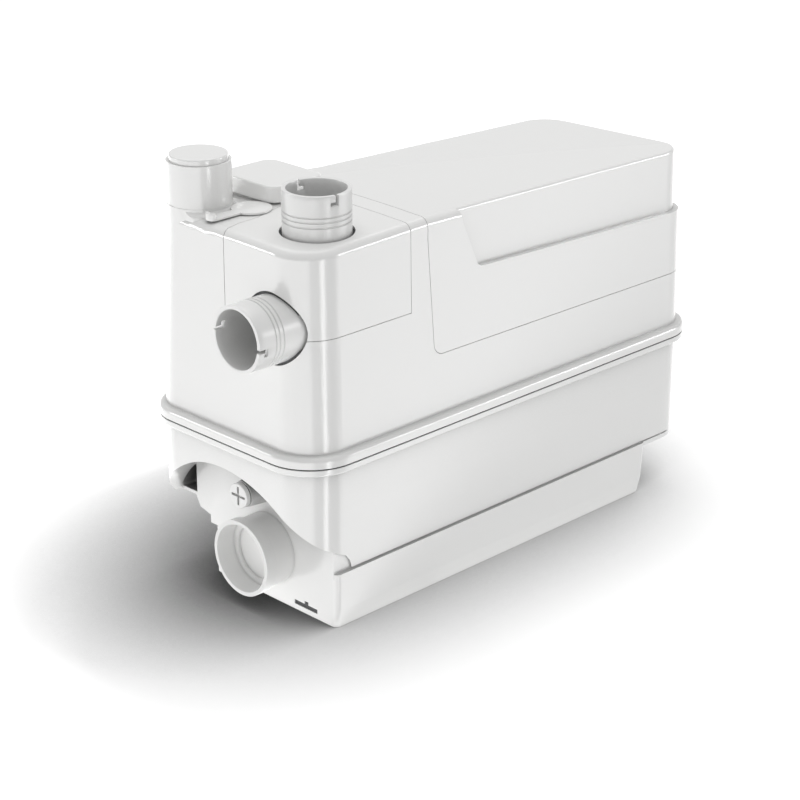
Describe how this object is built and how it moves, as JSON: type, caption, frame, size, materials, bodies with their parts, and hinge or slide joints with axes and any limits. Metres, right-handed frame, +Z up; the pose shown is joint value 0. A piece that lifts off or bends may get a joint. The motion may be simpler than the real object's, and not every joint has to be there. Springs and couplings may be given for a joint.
{
  "type": "wastewater lifting station",
  "caption": "Compact wastewater lifting station: white moulded tank and cover, two upper inlet sockets, a low inlet with flap, a discharge tower and a lift-off motor hood.",
  "frame": {"origin": "on the floor under the middle of the case flange, on the underside of the skirt", "axes": "+X along the case away from the inlets, -Y towards the front long side, +Z up"},
  "size_m": [0.3943, 0.158, 0.2806],
  "materials": {
    "case_white": "satin white moulded plastic",
    "socket_white": "satin off-white moulded plastic",
    "rubber_black": "black rubber",
    "steel": "brushed stainless steel",
    "copper": "enamelled copper winding",
    "cast_aluminium": "cast aluminium",
    "plastic_grey": "matt grey plastic",
    "plastic_black": "matt black plastic",
    "foam": "open-cell filter foam"
  },
  "bodies": {
    "station": {"tank": "case_white", "upper_cover": "case_white", "corner_panel": "case_white", "top_inlet_socket": "socket_white", "side_inlet_socket": "socket_white", "low_inlet_socket": "socket_white", "tank_gasket": "rubber_black", "top_inlet_seal": "rubber_black", "side_inlet_seal": "rubber_black", "drain_seal": "rubber_black", "discharge_hose": "rubber_black", "diaphragm": "rubber_black", "shaft_seal": "rubber_black", "air_hose": "rubber_black", "low_flap_pin": "steel", "check_flap_pin": "steel", "hose_clamps": "steel", "bearings": "steel", "stator": "steel", "motor_screws": "steel", "windings": "copper", "motor_flange": "cast_aluminium", "motor_housing": "cast_aluminium", "motor_end_cap": "cast_aluminium", "check_valve_body": "plastic_grey", "filter_basket": "plastic_grey", "pressure_tube": "plastic_grey", "pump_housing": "plastic_black", "suction_cover": "plastic_black", "strainer": "plastic_black", "pressure_switch": "plastic_black", "micro_switch": "plastic_black", "capacitor": "plastic_grey", "cable_gland": "plastic_black", "gland_nut": "plastic_black", "filter_foam": "foam"},
    "rotor": {"rotor_core": "steel", "shaft": "steel", "impeller": "plastic_black"},
    "check_flap": {"check_flap": "plastic_grey"},
    "low_flap": {"low_flap": "socket_white"},
    "riser_cap": {"riser_cap": "case_white"},
    "filter_lid": {"filter_lid": "case_white"},
    "motor_cover": {"motor_cover": "case_white"},
    "pressure_cap": {"pressure_cap": "case_white"},
    "drain_plug": {"drain_plug": "case_white"},
    "switch_plunger": {"switch_plunger": "plastic_grey"}
  },
  "joints": [
    {"name": "rotor_spin", "type": "hinge", "parent": "station", "child": "rotor", "pos_m": [0.052, -0.008, 0.15], "axis": [0, 0, 1], "continuous": true},
    {"name": "check_flap_swing", "type": "hinge", "parent": "station", "child": "check_flap", "pos_m": [-0.1724, 0.0448, 0.2094], "axis": [0, -1, 0], "range_deg": [0, 70]},
    {"name": "low_flap_swing", "type": "hinge", "parent": "station", "child": "low_flap", "pos_m": [-0.1669, -0.013, 0.0548], "axis": [0, -1, 0], "range_deg": [0, 48]},
    {"name": "riser_cap_lift", "type": "slide", "parent": "station", "child": "riser_cap", "axis": [0, 0, 1], "range_m": [0, 0.03]},
    {"name": "filter_lid_lift", "type": "slide", "parent": "station", "child": "filter_lid", "axis": [0, 0, 1], "range_m": [0, 0.03]},
    {"name": "motor_cover_lift", "type": "slide", "parent": "station", "child": "motor_cover", "axis": [0, 0, 1], "range_m": [0, 0.11]},
    {"name": "pressure_cap_turn", "type": "hinge", "parent": "station", "child": "pressure_cap", "pos_m": [-0.1425, 0.017, 0.247], "axis": [0, 0, 1], "range_deg": [0, 60]},
    {"name": "drain_plug_turn", "type": "hinge", "parent": "station", "child": "drain_plug", "pos_m": [-0.178, -0.007, 0.0745], "axis": [-1, 0, 0], "range_deg": [0, 90]},
    {"name": "switch_plunger_push", "type": "slide", "parent": "station", "child": "switch_plunger", "axis": [1, 0, 0], "range_m": [0, 0.0012]}
  ]
}
